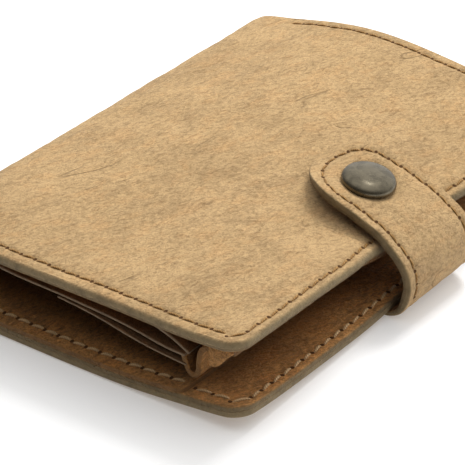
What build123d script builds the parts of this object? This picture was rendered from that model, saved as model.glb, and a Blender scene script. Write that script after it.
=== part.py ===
"""Travel document organizer: a bifold leather wallet lying closed on its back.

The spine is at -X, the opening edge at +X, the bottom edge at -Y and +Z points up.
All sizes are in millimetres.
"""

import os
from math import asin, cos, degrees, pi, radians, sin

from build123d import *

os.makedirs("parts", exist_ok=True)

# Overall sizes
half_width = 51.25       # the spine's outer face and the strap's stitches are at -/+ this
half_length = 68.9       # covers, along Y
closed_height = 20.9     # top of the front cover, without the strap

# Leather of the covers
cover_t = 1.5            # outer leather
lining_t = 1.25          # inner leather
ply_t = cover_t + lining_t
corner_r = 4.8           # free corners of the covers

# Spine
spine_r = 7.0            # outer radius of both long edges of the spine
split_gap_deg = 1.0      # half of the wedge left open where two bodies meet
back_tilt_deg = 1.5      # the strap under the back cover lifts its free edge

# Free edges along X
front_edge_x = 43.15
back_edge_x = 43.85

# Stitching
stitch_pitch = 3.8
stitch_l = 2.7
stitch_w = 0.9
stitch_h = 0.3
seam_inset_end = 3.5     # bottom and top edges
seam_inset_side = 2.3    # opening edge

# Inside pockets
panel_t = 1.0
panel_half_length = 65.6
pocket_half_length = 67.4
pocket_t = 1.2
pocket_slip = 0.4
pocket_mouth_x = 28.85
pocket_hem = 6.0
web_y = -58.0
web_t = 0.8

# Strap
strap_half_width = 13.0
strap_outer_t = 1.2
strap_lining_t = 1.0
strap_t = strap_outer_t + strap_lining_t
strap_face_x = half_width - 0.3   # outer face of the wrapping part
strap_inner_z = 21.7     # underside of the strap above the front cover
strap_low_r = 6.5        # outer radius of the bend under the back cover's edge
strap_high_r = 8.5       # outer radius of the bend above the front cover's edge
strap_root_x = 20.25     # sewn end under the back cover
strap_tip_x = 14.35      # rounded free end above the front cover
strap_mid_z = 11.5       # joint of the two halves of the wrapping part
strap_seam_inset = 2.6
strap_split_deg = 2.0

# Snap fastener, line 20
snap_x = 29.75
cap_r = 6.35
cap_h = 1.6
socket_r = 4.8
socket_barrel_r = 3.1
socket_bore_r = 2.3
socket_flange_t = 0.4
stud_flange_r = 4.5
stud_flange_t = 0.25
stud_ball_r = 1.9
stud_ball_h = 2.0
post_r = 1.5
post_head_r = 4.5
post_head_t = 0.4

# Derived positions
low_cx, low_cz = -half_width + spine_r, spine_r
high_cx, high_cz = -half_width + spine_r, closed_height - spine_r
strap_outer_z = strap_inner_z + strap_t
bend_low_cx, bend_low_cz = strap_face_x - strap_low_r, strap_low_r
bend_high_cx, bend_high_cz = strap_face_x - strap_high_r, strap_outer_z - strap_high_r
front_inner_z = closed_height - ply_t


def polar(cx, cz, r, deg):
    return (cx + r * cos(radians(deg)), cz + r * sin(radians(deg)))


def arc(cx, cz, r, a0, a1):
    return ThreePointArc(polar(cx, cz, r, a0), polar(cx, cz, r, (a0 + a1) / 2), polar(cx, cz, r, a1))


def tilt(x, z):
    """A point of the flat back half after it is turned by the back cover's tilt."""
    a = radians(back_tilt_deg)
    dx, dz = x - low_cx, z - low_cz
    return (low_cx + dx * cos(a) - dz * sin(a), low_cz + dx * sin(a) + dz * cos(a))


def tilt_part(shape):
    return shape.rotate(Axis((low_cx, 0, low_cz), (0, -1, 0)), back_tilt_deg)


def offset_points(points, t):
    """Points moved by t to the right-hand side of the line through them."""
    out = []
    for i, (x, z) in enumerate(points):
        x0, z0 = points[max(i - 1, 0)]
        x1, z1 = points[min(i + 1, len(points) - 1)]
        dx, dz = x1 - x0, z1 - z0
        n = (dx * dx + dz * dz) ** 0.5
        out.append((x + t * dz / n, z - t * dx / n))
    return out


def round_free_corners(part, x_edge):
    """Vertical edges at the cover's two free corners."""
    edges = part.edges().filter_by(Axis.Z).filter_by(lambda e: abs(e.center().X - x_edge) < 0.01)
    return edges


def save(part, name):
    part.label = name
    export_step(part, "parts/" + name + ".step")


# ---------------------------------------------------------------- back half
with BuildPart() as back_cover:
    with BuildSketch(Plane.XZ):
        with BuildLine():
            a0, a1 = 225 + split_gap_deg, 270
            arc(low_cx, low_cz, spine_r, a0, a1)
            Polyline((low_cx, 0), (back_edge_x, 0), (back_edge_x, cover_t), (low_cx, cover_t))
            arc(low_cx, low_cz, spine_r - cover_t, a1, a0)
            Line(polar(low_cx, low_cz, spine_r - cover_t, a0), polar(low_cx, low_cz, spine_r, a0))
        make_face()
    extrude(amount=half_length, both=True)
    fillet(round_free_corners(back_cover, back_edge_x), corner_r)
back_cover.part = tilt_part(back_cover.part)
save(back_cover.part, "back_cover")

with BuildPart() as back_lining:
    with BuildSketch(Plane.XZ):
        with BuildLine():
            arc(low_cx, low_cz, spine_r - cover_t, a0, a1)
            Polyline((low_cx, cover_t), (back_edge_x, cover_t), (back_edge_x, ply_t), (low_cx, ply_t))
            arc(low_cx, low_cz, spine_r - ply_t, a1, a0)
            Line(polar(low_cx, low_cz, spine_r - ply_t, a0), polar(low_cx, low_cz, spine_r - cover_t, a0))
        make_face()
    extrude(amount=half_length, both=True)
    fillet(round_free_corners(back_lining, back_edge_x), corner_r)
back_lining.part = tilt_part(back_lining.part)
save(back_lining.part, "back_lining")

# Document pocket: an overlay sewn on three sides, its mouth faces the opening edge
with BuildPart() as document_pocket:
    with BuildSketch(Plane.XY.offset(ply_t)):
        with Locations(((low_cx + 1.5 + pocket_mouth_x) / 2, 0)):
            Rectangle(pocket_mouth_x - low_cx - 1.5, 2 * pocket_half_length)
    extrude(amount=pocket_t)
    with BuildSketch(Plane.XY.offset(ply_t)):
        with Locations(((low_cx + 1.5 + pocket_hem + pocket_mouth_x) / 2, 0)):
            Rectangle(pocket_mouth_x - low_cx - 1.5 - pocket_hem, 2 * (pocket_half_length - pocket_hem))
    extrude(amount=pocket_slip, mode=Mode.SUBTRACT)
document_pocket.part = tilt_part(document_pocket.part)
save(document_pocket.part, "document_pocket")

# Stitching of the back half, seen on the pocket and on the lining
pocket_top = ply_t + pocket_t
seam_y = half_length - seam_inset_end
with BuildPart() as pocket_stitching:
    with BuildSketch(Plane.XY.offset(pocket_top)):
        count = int((pocket_mouth_x - low_cx - 6) / stitch_pitch)
        xs = [pocket_mouth_x - 2.0 - i * stitch_pitch for i in range(count)]
        with Locations(*[(x, s * seam_y) for x in xs for s in (-1, 1)]):
            Rectangle(stitch_l, stitch_w)
    extrude(amount=stitch_h)
pocket_stitching.part = tilt_part(pocket_stitching.part)
save(pocket_stitching.part, "pocket_stitching")

with BuildPart() as back_stitching:
    with BuildSketch(Plane.XY.offset(ply_t)):
        xs = [pocket_mouth_x + 2.4 + i * stitch_pitch for i in range(3)]
        with Locations(*[(x, s * seam_y) for x in xs for s in (-1, 1)]):
            Rectangle(stitch_l, stitch_w)
        side_x = back_edge_x - seam_inset_side
        n = int((half_length - 7) / stitch_pitch)
        with Locations(*[(side_x, i * stitch_pitch) for i in range(-n, n + 1)]):
            Rectangle(stitch_w, stitch_l)
    extrude(amount=stitch_h)
back_stitching.part = tilt_part(back_stitching.part)
save(back_stitching.part, "back_stitching")

# Strap root: sewn flat under the back cover, with the first half of the lower bend
bend_stop_x = bend_low_cx - 1.0
split_low = -45.0
with BuildPart() as strap_root:
    with BuildSketch(Plane.XZ):
        with BuildLine():
            end = split_low - strap_split_deg
            Polyline((strap_root_x, 0), (bend_low_cx, 0))
            arc(bend_low_cx, bend_low_cz, strap_low_r, -90, end)
            Line(polar(bend_low_cx, bend_low_cz, strap_low_r, end), polar(bend_low_cx, bend_low_cz, strap_low_r - strap_t, end))
            arc(bend_low_cx, bend_low_cz, strap_low_r - strap_t, end, -90)
            Polyline((bend_low_cx, strap_t), (bend_stop_x, tilt(bend_stop_x, 0)[1] - 0.02), (strap_root_x, tilt(strap_root_x, 0)[1] - 0.02), (strap_root_x, 0))
        make_face()
    extrude(amount=strap_half_width, both=True)
save(strap_root.part, "strap_root")

# ---------------------------------------------------------------- spine
s0, s1 = 225 - split_gap_deg, 135 + split_gap_deg


def spine_shell(r_out, r_in):
    with BuildPart() as shell:
        with BuildSketch(Plane.XZ):
            with BuildLine():
                arc(low_cx, low_cz, r_out, s0, 180)
                Line((low_cx - r_out, low_cz), (high_cx - r_out, high_cz))
                arc(high_cx, high_cz, r_out, 180, s1)
                Line(polar(high_cx, high_cz, r_out, s1), polar(high_cx, high_cz, r_in, s1))
                arc(high_cx, high_cz, r_in, s1, 180)
                Line((high_cx - r_in, high_cz), (low_cx - r_in, low_cz))
                arc(low_cx, low_cz, r_in, 180, s0)
                Line(polar(low_cx, low_cz, r_in, s0), polar(low_cx, low_cz, r_out, s0))
            make_face()
        extrude(amount=half_length, both=True)
    return shell.part


spine_cover = spine_shell(spine_r, spine_r - cover_t)
save(spine_cover, "spine_cover")
spine_lining = spine_shell(spine_r - cover_t, spine_r - ply_t)
save(spine_lining, "spine_lining")

# ---------------------------------------------------------------- front half
f0 = 135 - split_gap_deg


def front_shell(r_out, r_in):
    z_top, z_low = high_cz + r_out, high_cz + r_in
    with BuildPart() as shell:
        with BuildSketch(Plane.XZ):
            with BuildLine():
                arc(high_cx, high_cz, r_out, f0, 90)
                Polyline((high_cx, z_top), (front_edge_x, z_top), (front_edge_x, z_low), (high_cx, z_low))
                arc(high_cx, high_cz, r_in, 90, f0)
                Line(polar(high_cx, high_cz, r_in, f0), polar(high_cx, high_cz, r_out, f0))
            make_face()
        extrude(amount=half_length, both=True)
        fillet(round_free_corners(shell, front_edge_x), corner_r)
        with BuildSketch(Plane.XY.offset(z_low)):
            with Locations((snap_x, 0)):
                Circle(post_r)
        extrude(amount=z_top - z_low, mode=Mode.SUBTRACT)
    return shell.part


front_cover = front_shell(spine_r, spine_r - cover_t)
save(front_cover, "front_cover")
front_lining = front_shell(spine_r - cover_t, spine_r - ply_t)
save(front_lining, "front_lining")

# Note panel: sewn to the lining near the spine, hanging towards the opening edge
note_top = [(-35.75, front_inner_z), (-31.75, 17.45), (-21.75, 15.9), (-8.35, 15.4), (2.65, 14.9), (15.95, 13.5), (22.25, 12.6)]
note_low = offset_points(note_top, panel_t)
note_low[0] = (-35.75, front_inner_z - panel_t)
note_low[-1] = (22.25, 12.6 - panel_t)
note_end_x = 27.45
with BuildPart() as note_panel:
    with BuildSketch(Plane.XZ):
        with BuildLine():
            Line((-41.75, front_inner_z), note_top[0])
            Spline(*note_top, tangents=((1, 0), (1, 0)))
            Polyline(note_top[-1], (note_end_x, 12.6), (note_end_x, 12.6 - panel_t), note_low[-1])
            Spline(*reversed(note_low), tangents=((-1, 0), (-1, 0)))
            Polyline(note_low[0], (-41.75, front_inner_z - panel_t), (-41.75, front_inner_z))
        make_face()
    extrude(amount=panel_half_length, both=True)
save(note_panel.part, "note_panel")

# Side gusset: closes the note panel's free side with a U-shaped fold
gusset_mid = [(27.5, 12.1), (29.35, 11.2), (30.05, 9.6), (31.25, 8.5), (32.75, 9.6), (33.65, 12.0), (34.25, 14.8), (35.15, 16.9), (36.85, 17.65)]
gusset_top = offset_points(gusset_mid, -panel_t / 2)
gusset_low = offset_points(gusset_mid, panel_t / 2)
gusset_top[0], gusset_low[0] = (27.5, 12.6), (27.5, 11.6)
gusset_top[-1], gusset_low[-1] = (36.85, front_inner_z), (36.85, front_inner_z - panel_t)
with BuildPart() as side_gusset:
    with BuildSketch(Plane.XZ):
        with BuildLine():
            Spline(*gusset_top)
            Polyline(gusset_top[-1], (40.85, front_inner_z), (40.85, front_inner_z - panel_t), gusset_low[-1])
            Spline(*reversed(gusset_low))
            Line(gusset_low[0], gusset_top[0])
        make_face()
    extrude(amount=panel_half_length - 0.8, both=True)
save(side_gusset.part, "side_gusset")

# Bottom web: closes the note compartment at its bottom end
web_low = [(x, z + 0.06) for x, z in note_top]
with BuildPart() as bottom_web:
    with BuildSketch(Plane.XZ.offset(-web_y)):
        with BuildLine():
            Polyline((-31.75, web_low[1][1] + 0.06), (-31.75, front_inner_z), (26.85, front_inner_z), (26.85, 12.66), (22.25, 12.66))
            Spline(*reversed(web_low[1:]), tangents=((-1, 0), (-1, 0.25)))
            Line(web_low[1], (-31.75, web_low[1][1] + 0.06))
        make_face()
    extrude(amount=web_t)
save(bottom_web.part, "bottom_web")

# Ticket pocket: a shallow pocket on the note panel's inner face, its mouth faces the spine
ticket_top = [(5.25, 13.0), (10.25, 12.35), (16.25, 11.75), (23.25, 11.55)]
ticket_low = offset_points(ticket_top, panel_t)
ticket_low[-1] = (23.25, 11.55 - panel_t)
with BuildPart() as ticket_pocket:
    with BuildSketch(Plane.XZ):
        with BuildLine():
            Spline(*ticket_top, tangents=((1, -0.15), (1, 0)))
            Polyline(ticket_top[-1], (27.05, 11.55), (27.05, 10.55), ticket_low[-1])
            Spline(*reversed(ticket_low), tangents=((-1, 0), (-1, 0.15)))
            Line(ticket_low[0], ticket_top[0])
        make_face()
    extrude(amount=panel_half_length - 1.6, both=True)
save(ticket_pocket.part, "ticket_pocket")

# Stitching of the front half
with BuildPart() as front_stitching:
    with BuildSketch(Plane.XY.offset(closed_height)):
        n = int((front_edge_x - 6 - high_cx) / stitch_pitch)
        xs = [front_edge_x - 5.6 - i * stitch_pitch for i in range(n + 1)]
        with Locations(*[(x, s * seam_y) for x in xs for s in (-1, 1)]):
            Rectangle(stitch_l, stitch_w)
        n = int((half_length - 6) / stitch_pitch)
        with Locations(*[(front_edge_x - seam_inset_side, i * stitch_pitch) for i in range(-n, n + 1)]):
            Rectangle(stitch_w, stitch_l)
    extrude(amount=stitch_h)
save(front_stitching.part, "front_stitching")

# Snap: stud on the front cover, its post through both layers
with BuildPart() as snap_stud:
    with BuildSketch(Plane.XY.offset(closed_height)):
        with Locations((snap_x, 0)):
            Circle(stud_flange_r)
    extrude(amount=stud_flange_t)
    with BuildSketch(Plane.XY.offset(closed_height + stud_flange_t)):
        with Locations((snap_x, 0)):
            Circle(stud_ball_r)
    extrude(amount=stud_ball_h)
    fillet(snap_stud.faces().sort_by(Axis.Z)[-1].edges(), 0.8)
save(snap_stud.part, "snap_stud")

with BuildPart() as snap_post:
    with BuildSketch(Plane.XY.offset(front_inner_z)):
        with Locations((snap_x, 0)):
            Circle(post_r)
    extrude(amount=ply_t)
    with BuildSketch(Plane.XY.offset(front_inner_z - post_head_t)):
        with Locations((snap_x, 0)):
            Circle(post_head_r)
    extrude(amount=post_head_t)
save(snap_post.part, "snap_post")


# ---------------------------------------------------------------- strap
def wrap_layer(off_out, off_in):
    """Layer of the wrapping part between two depths below the strap's outer face."""
    w0, w1 = split_low + strap_split_deg, 45.0 - strap_split_deg
    lo_o, lo_i = strap_low_r - off_out, strap_low_r - off_in
    hi_o, hi_i = strap_high_r - off_out, strap_high_r - off_in
    with BuildPart() as layer:
        with BuildSketch(Plane.XZ):
            with BuildLine():
                arc(bend_low_cx, bend_low_cz, lo_o, w0, 0)
                Line((strap_face_x - off_out, bend_low_cz), (strap_face_x - off_out, bend_high_cz))
                arc(bend_high_cx, bend_high_cz, hi_o, 0, w1)
                Line(polar(bend_high_cx, bend_high_cz, hi_o, w1), polar(bend_high_cx, bend_high_cz, hi_i, w1))
                arc(bend_high_cx, bend_high_cz, hi_i, w1, 0)
                Line((strap_face_x - off_in, bend_high_cz), (strap_face_x - off_in, bend_low_cz))
                arc(bend_low_cx, bend_low_cz, lo_i, 0, w0)
                Line(polar(bend_low_cx, bend_low_cz, lo_i, w0), polar(bend_low_cx, bend_low_cz, lo_o, w0))
            make_face()
        extrude(amount=strap_half_width, both=True)
    return layer.part


strap_wrap_outer = wrap_layer(0, strap_outer_t)
save(strap_wrap_outer, "strap_wrap_outer")
strap_wrap_lining = wrap_layer(strap_outer_t, strap_t)
save(strap_wrap_lining, "strap_wrap_lining")


def tip_layer(off_out, off_in):
    """Layer of the strap's tip, with its half of the upper bend and a rounded end."""
    t1 = 45.0 + strap_split_deg
    hi_o, hi_i = strap_high_r - off_out, strap_high_r - off_in
    z_o, z_i = strap_outer_z - off_out, strap_outer_z - off_in
    with BuildPart() as layer:
        with BuildSketch(Plane.XZ):
            with BuildLine():
                arc(bend_high_cx, bend_high_cz, hi_o, t1, 90)
                Polyline((bend_high_cx, z_o), (strap_tip_x, z_o), (strap_tip_x, z_i), (bend_high_cx, z_i))
                arc(bend_high_cx, bend_high_cz, hi_i, 90, t1)
                Line(polar(bend_high_cx, bend_high_cz, hi_i, t1), polar(bend_high_cx, bend_high_cz, hi_o, t1))
            make_face()
        extrude(amount=strap_half_width, both=True)
        fillet(round_free_corners(layer, strap_tip_x), strap_half_width - 0.01)
        with BuildSketch(Plane.XY.offset(z_i)):
            with Locations((snap_x, 0)):
                Circle(socket_barrel_r)
        extrude(amount=z_o - z_i, mode=Mode.SUBTRACT)
    return layer.part


strap_tip_outer = tip_layer(0, strap_outer_t)
save(strap_tip_outer, "strap_tip_outer")
strap_tip_lining = tip_layer(strap_outer_t, strap_t)
save(strap_tip_lining, "strap_tip_lining")

# Stitching of the strap: two straight rows joined by a row round the tip
tip_cx = strap_tip_x + strap_half_width
row_y = strap_half_width - strap_seam_inset
with BuildPart() as tip_stitching:
    with BuildSketch(Plane.XY.offset(strap_outer_z)):
        xs = [tip_cx + (i + 0.5) * stitch_pitch for i in range(4)]
        with Locations(*[(x, s * row_y) for x in xs for s in (-1, 1)]):
            Rectangle(stitch_l, stitch_w)
        steps = round(pi * row_y / stitch_pitch)
        for i in range(steps):
            a = 90 + 180 * (i + 0.5) / steps
            with Locations(Location((tip_cx + row_y * cos(radians(a)), row_y * sin(radians(a)), 0), (0, 0, a + 90))):
                Rectangle(stitch_l, stitch_w)
    extrude(amount=stitch_h)
save(tip_stitching.part, "tip_stitching")

with BuildPart() as wrap_stitching:
    with BuildSketch(Plane.YZ.offset(strap_face_x)):
        zs = [bend_low_cz + 0.8 + i * stitch_pitch for i in range(3)]
        with Locations(*[(s * row_y, z) for z in zs for s in (-1, 1)]):
            Rectangle(stitch_w, stitch_l)
    extrude(amount=stitch_h)
save(wrap_stitching.part, "wrap_stitching")

# Snap: cap on the strap's outer face, socket on its inner face
dome_edge, dome_rise = cap_r - 0.9, cap_h - 0.75
dome_r = (dome_edge**2 + dome_rise**2) / (2 * dome_rise)
dome_cz = strap_outer_z + cap_h - dome_r
dome_deg = degrees(asin(dome_edge / dome_r))
with BuildPart() as snap_cap:
    with BuildSketch(Plane.XZ):
        with BuildLine():
            Line((0, strap_outer_z + cap_h), (0, strap_outer_z))
            Line((0, strap_outer_z), (cap_r, strap_outer_z))
            Line((cap_r, strap_outer_z), (cap_r, strap_outer_z + 0.45))
            Line((cap_r, strap_outer_z + 0.45), (cap_r - 0.9, strap_outer_z + 0.75))
            arc(0, dome_cz, dome_r, 90 - dome_deg, 90)
        make_face()
    revolve(axis=Axis.Z)
snap_cap.part = snap_cap.part.translate((snap_x, 0, 0))
save(snap_cap.part, "snap_cap")

with BuildPart() as snap_socket:
    with BuildSketch(Plane.XY.offset(strap_inner_z - socket_flange_t)):
        with Locations((snap_x, 0)):
            Circle(socket_r)
    extrude(amount=socket_flange_t)
    with BuildSketch(Plane.XY.offset(strap_inner_z)):
        with Locations((snap_x, 0)):
            Circle(socket_barrel_r)
    extrude(amount=strap_t)
    with BuildSketch(Plane.XY.offset(strap_inner_z - socket_flange_t)):
        with Locations((snap_x, 0)):
            Circle(socket_bore_r)
    extrude(amount=socket_flange_t + strap_t, mode=Mode.SUBTRACT)
save(snap_socket.part, "snap_socket")
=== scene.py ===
"""Travel document organizer: leather covers, pockets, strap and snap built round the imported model.

Shapes are worked out in millimetres and written to the meshes in metres. Every leather piece is a
flat sheet first, with places (s, y, h): s along its profile, y along the spine and h above its
outer face. A sheet's map then bends it into place, and its stitches go through the same map.
"""

import math

import bmesh
import bpy
import numpy as np
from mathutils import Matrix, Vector


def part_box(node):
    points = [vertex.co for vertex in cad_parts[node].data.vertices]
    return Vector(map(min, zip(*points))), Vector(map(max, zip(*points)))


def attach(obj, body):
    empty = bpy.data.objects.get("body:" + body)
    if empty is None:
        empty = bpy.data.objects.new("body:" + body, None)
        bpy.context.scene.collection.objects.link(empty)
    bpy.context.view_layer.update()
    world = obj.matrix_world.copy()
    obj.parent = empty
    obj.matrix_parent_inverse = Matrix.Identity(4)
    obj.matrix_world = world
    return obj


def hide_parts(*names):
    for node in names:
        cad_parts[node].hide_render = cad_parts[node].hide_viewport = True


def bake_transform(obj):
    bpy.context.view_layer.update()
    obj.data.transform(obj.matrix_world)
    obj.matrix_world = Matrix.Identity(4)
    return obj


bl_info = {
    "name": "Travel Document Organizer",
    "version": (1, 0, 0),
    "blender": (4, 5, 0),
    "location": "View3D > Sidebar > Organizer",
    "description": "Builds the leather, stitching and snap of a bifold travel document organizer",
    "category": "Object",
}

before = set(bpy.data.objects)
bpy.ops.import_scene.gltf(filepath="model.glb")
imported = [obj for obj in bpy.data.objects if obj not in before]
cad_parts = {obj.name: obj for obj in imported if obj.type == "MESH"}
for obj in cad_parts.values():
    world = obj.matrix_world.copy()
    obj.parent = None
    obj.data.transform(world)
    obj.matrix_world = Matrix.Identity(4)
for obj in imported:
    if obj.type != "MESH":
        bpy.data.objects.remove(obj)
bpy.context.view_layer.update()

MM = 0.001


def box_mm(node):
    """A CAD node's lowest and highest corner, in millimetres."""
    low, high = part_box(node)
    return np.array(low) / MM, np.array(high) / MM


FRONT_LOW, FRONT_HIGH = box_mm("front_cover")
BACK_LOW, BACK_HIGH = box_mm("back_cover")
SPINE_LOW, SPINE_HIGH = box_mm("spine_cover")
CAP_LOW, CAP_HIGH = box_mm("snap_cap")
SPINE_X = float(SPINE_LOW[0])
TOP_Z = float(FRONT_HIGH[2])
MID_Z = TOP_Z / 2
FRONT_EDGE = float(FRONT_HIGH[0])
BACK_EDGE = float(BACK_HIGH[0])
HALF = float(FRONT_HIGH[1])
SNAP_X = float(CAP_LOW[0] + CAP_HIGH[0]) / 2
CAP_R = float(CAP_HIGH[0] - CAP_LOW[0]) / 2
STRAP_HALF = float(box_mm("strap_tip_outer")[1][1])


# ------------------------------------------------------------------ sizes and colours
def size(name, description, default, low=0.01, high=200.0):
    return bpy.props.FloatProperty(name=name, description=description, default=default, min=low, max=high)


def colour(name, description, default):
    return bpy.props.FloatVectorProperty(
        name=name, description=description, default=default, subtype="COLOR", size=3, min=0.0, max=1.0
    )


class OrganizerSizes(bpy.types.PropertyGroup):
    """Sizes of the leather, the stitches and the snap, in millimetres"""

    cover_t: size("Cover leather", "Thickness of the outer leather in mm", 1.5)
    lining_t: size("Lining leather", "Thickness of the lining in mm", 1.25)
    panel_t: size("Panel leather", "Thickness of the inner panels in mm", 0.7)
    pocket_t: size("Pocket leather", "Thickness of the document pocket in mm", 1.0)
    strap_end: size("Strap end inset", "Extra distance of the seam from the strap's rounded end in mm", 1.0)
    press: size("Snap dimple", "Depth to which the cap is pressed into the strap in mm", 0.7)
    corner_r: size("Corner", "Radius of the covers' free corners in mm", 4.8)
    seam_end: size("End seam inset", "Distance of the bottom and top seams from the edge in mm", 3.5)
    seam_side: size("Side seam inset", "Distance of the opening-edge seam from the edge in mm", 2.3)
    seam_strap: size("Strap seam inset", "Distance of the strap's seam from its edge in mm", 2.6)
    pitch: size("Stitch pitch", "Distance from needle hole to needle hole in mm", 3.8)
    thread: size("Outer thread", "Width of the outer seams' thread in mm", 0.56)
    inner_thread: size("Inner thread", "Width of the inner seams' thread in mm", 0.74)
    strap_outer_t: size("Strap outer", "Thickness of the strap's outer leather in mm", 1.25)
    strap_t: size("Strap", "Thickness of the whole strap in mm", 2.2)


class OrganizerColours(bpy.types.PropertyGroup):
    """Colours of the leather, the thread and the snap"""

    hide_light: colour("Nubuck, light", "Lightest patches of the outer leather", (0.54, 0.36, 0.176))
    hide_mid: colour("Nubuck", "Main colour of the outer leather", (0.47, 0.312, 0.15))
    hide_dark: colour("Nubuck, dark", "Worn dark patches of the outer leather", (0.17, 0.10, 0.04))
    # Cut edge: the dressed edges' own darker tone, made darker still as painted shade for walls that face away from
    # the key lamp.
    edge: colour("Cut edge", "Dressed edges of the leather", (0.215, 0.16, 0.082))
    lining: colour("Lining", "Inner leather", (0.52, 0.255, 0.08))
    pocket: colour("Pockets", "Pocket leather", (0.46, 0.22, 0.066))
    # Panels: the thin leather's own dark tone, made darker still as painted shade for the layers deep inside the
    # front half.
    panel: colour("Panels", "Thin leather of the inner panels", (0.15, 0.075, 0.03))
    panel_edge: colour("Panel edge", "Raw edges of the inner panels", (0.24, 0.165, 0.10))
    brown_thread: colour("Outer thread", "Thread of the outer seams", (0.31, 0.165, 0.045))
    tan_thread: colour("Inner thread", "Thread of the inner seams", (0.55, 0.36, 0.18))
    hole: colour("Needle holes", "Shadowed needle holes", (0.045, 0.020, 0.006))
    brass: colour("Antique brass", "Snap cap", (0.155, 0.132, 0.09))


# ------------------------------------------------------------------ curves and maps
def spline_through(knots, values, at):
    """Natural cubic spline, the curve of least bending through values at knots, read at the places 'at'."""
    knots, values = np.asarray(knots, float), np.asarray(values, float)
    n = len(knots)
    step = np.diff(knots)
    a, rhs = np.eye(n), np.zeros((n,) + values.shape[1:])
    slope = np.diff(values, axis=0) / step.reshape((-1,) + (1,) * (values.ndim - 1))
    for i in range(1, n - 1):
        a[i, i - 1 : i + 2] = step[i - 1] / 6, (step[i - 1] + step[i]) / 3, step[i] / 6
        rhs[i] = slope[i] - slope[i - 1]
    bend = np.linalg.solve(a, rhs)
    at = np.clip(at, knots[0], knots[-1])
    i = np.clip(np.searchsorted(knots, at) - 1, 0, n - 2)
    shape = (-1,) + (1,) * (values.ndim - 1)
    w = step[i].reshape(shape)
    q = ((at - knots[i]) / step[i]).reshape(shape)
    p = 1 - q
    chord = p * values[i] + q * values[i + 1]
    return chord + ((p**3 - p) * bend[i] + (q**3 - q) * bend[i + 1]) * w * w / 6


class Quilt:
    """A height over the plane: cubic splines through a small table of heights, read off a fine grid."""

    def __init__(self, xs, ys, table, fine=420):
        self.gx = np.linspace(xs[0], xs[-1], fine)
        self.gy = np.linspace(ys[0], ys[-1], fine)
        along = spline_through(xs, np.asarray(table, float).T, self.gx)
        self.z = spline_through(ys, along.T, self.gy)

    def __call__(self, x, y):
        fx = np.clip((x - self.gx[0]) / (self.gx[1] - self.gx[0]), 0, len(self.gx) - 1.001)
        fy = np.clip((y - self.gy[0]) / (self.gy[1] - self.gy[0]), 0, len(self.gy) - 1.001)
        i, j = fx.astype(int), fy.astype(int)
        u, v = fx - i, fy - j
        z = self.z
        low_y = z[j, i] * (1 - u) + z[j, i + 1] * u
        high_y = z[j + 1, i] * (1 - u) + z[j + 1, i + 1] * u
        return low_y * (1 - v) + high_y * v


def ramp(t, a, b):
    """Smooth step from 0 at a to 1 at b, or falling where b is below a: 3q^2 - 2q^3."""
    q = np.clip((t - a) / (b - a), 0, 1)
    return q * q * (3 - 2 * q)


class Profile:
    """A curve in the XZ plane measured by its own length, with its normal on the left of its direction."""

    def __init__(self, points, step=0.1):
        points = np.asarray(points, float)
        chord = np.r_[0, np.cumsum(np.hypot(*np.diff(points, axis=0).T))]
        at = np.arange(0, chord[-1] + step / 2, step)
        at[-1] = chord[-1]
        xz = spline_through(chord, points, at)
        self.s = np.r_[0, np.cumsum(np.hypot(*np.diff(xz, axis=0).T))]
        self.x, self.z = xz.T
        dx, dz = np.gradient(self.x, self.s), np.gradient(self.z, self.s)
        n = np.hypot(dx, dz)
        self.nx, self.nz = -dz / n, dx / n
        self.length = float(self.s[-1])

    def __call__(self, s):
        return tuple(np.interp(s, self.s, k) for k in (self.x, self.z, self.nx, self.nz))

    def s_at_x(self, x):
        """Length at which the curve's last crossing of x lies."""
        i = np.argmin(np.abs(self.x - x) - 1e-6 * self.s)
        return float(self.s[i])


def corner(cx, cz, a, b, start, stop, count=10):
    """Points of an ellipse's arc: centre plus (a cos, b sin) from start to stop degrees."""
    t = np.radians(np.linspace(start, stop, count))
    return np.c_[cx + a * np.cos(t), cz + b * np.sin(t)]


def straight(x0, z0, x1, z1, count):
    """Evenly spaced points of a straight run, its ends left out."""
    t = np.linspace(0, 1, count + 2)[1:-1]
    return np.c_[x0 + (x1 - x0) * t, z0 + (z1 - z0) * t]


def nearest_length(profile, distance, allowed):
    """Length at which a distance is least, among the allowed places of a profile."""
    return float(profile.s[allowed][np.argmin(distance[allowed])])


# Front half: from the middle of the spine up, round its upper edge and over the top
FRONT_BEND_A, FRONT_BEND_B = 13.0, 9.2
front_profile = Profile(
    np.vstack(
        [
            [(SPINE_X, MID_Z)],
            corner(SPINE_X + FRONT_BEND_A, TOP_Z - FRONT_BEND_B, FRONT_BEND_A, FRONT_BEND_B, 180, 90),
            straight(SPINE_X + FRONT_BEND_A, TOP_Z, FRONT_EDGE, TOP_Z, 14),
            [(FRONT_EDGE, TOP_Z)],
        ]
    )
)
# Back half: from the middle of the spine down, round its lower edge and along the bottom
BACK_BEND = 8.2
back_profile = Profile(
    np.vstack(
        [
            [(SPINE_X, MID_Z)],
            corner(SPINE_X + BACK_BEND, BACK_BEND, BACK_BEND, BACK_BEND, 180, 270),
            straight(SPINE_X + BACK_BEND, 0, BACK_EDGE, 0, 14),
            [(BACK_EDGE, 0)],
        ]
    )
)

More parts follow.
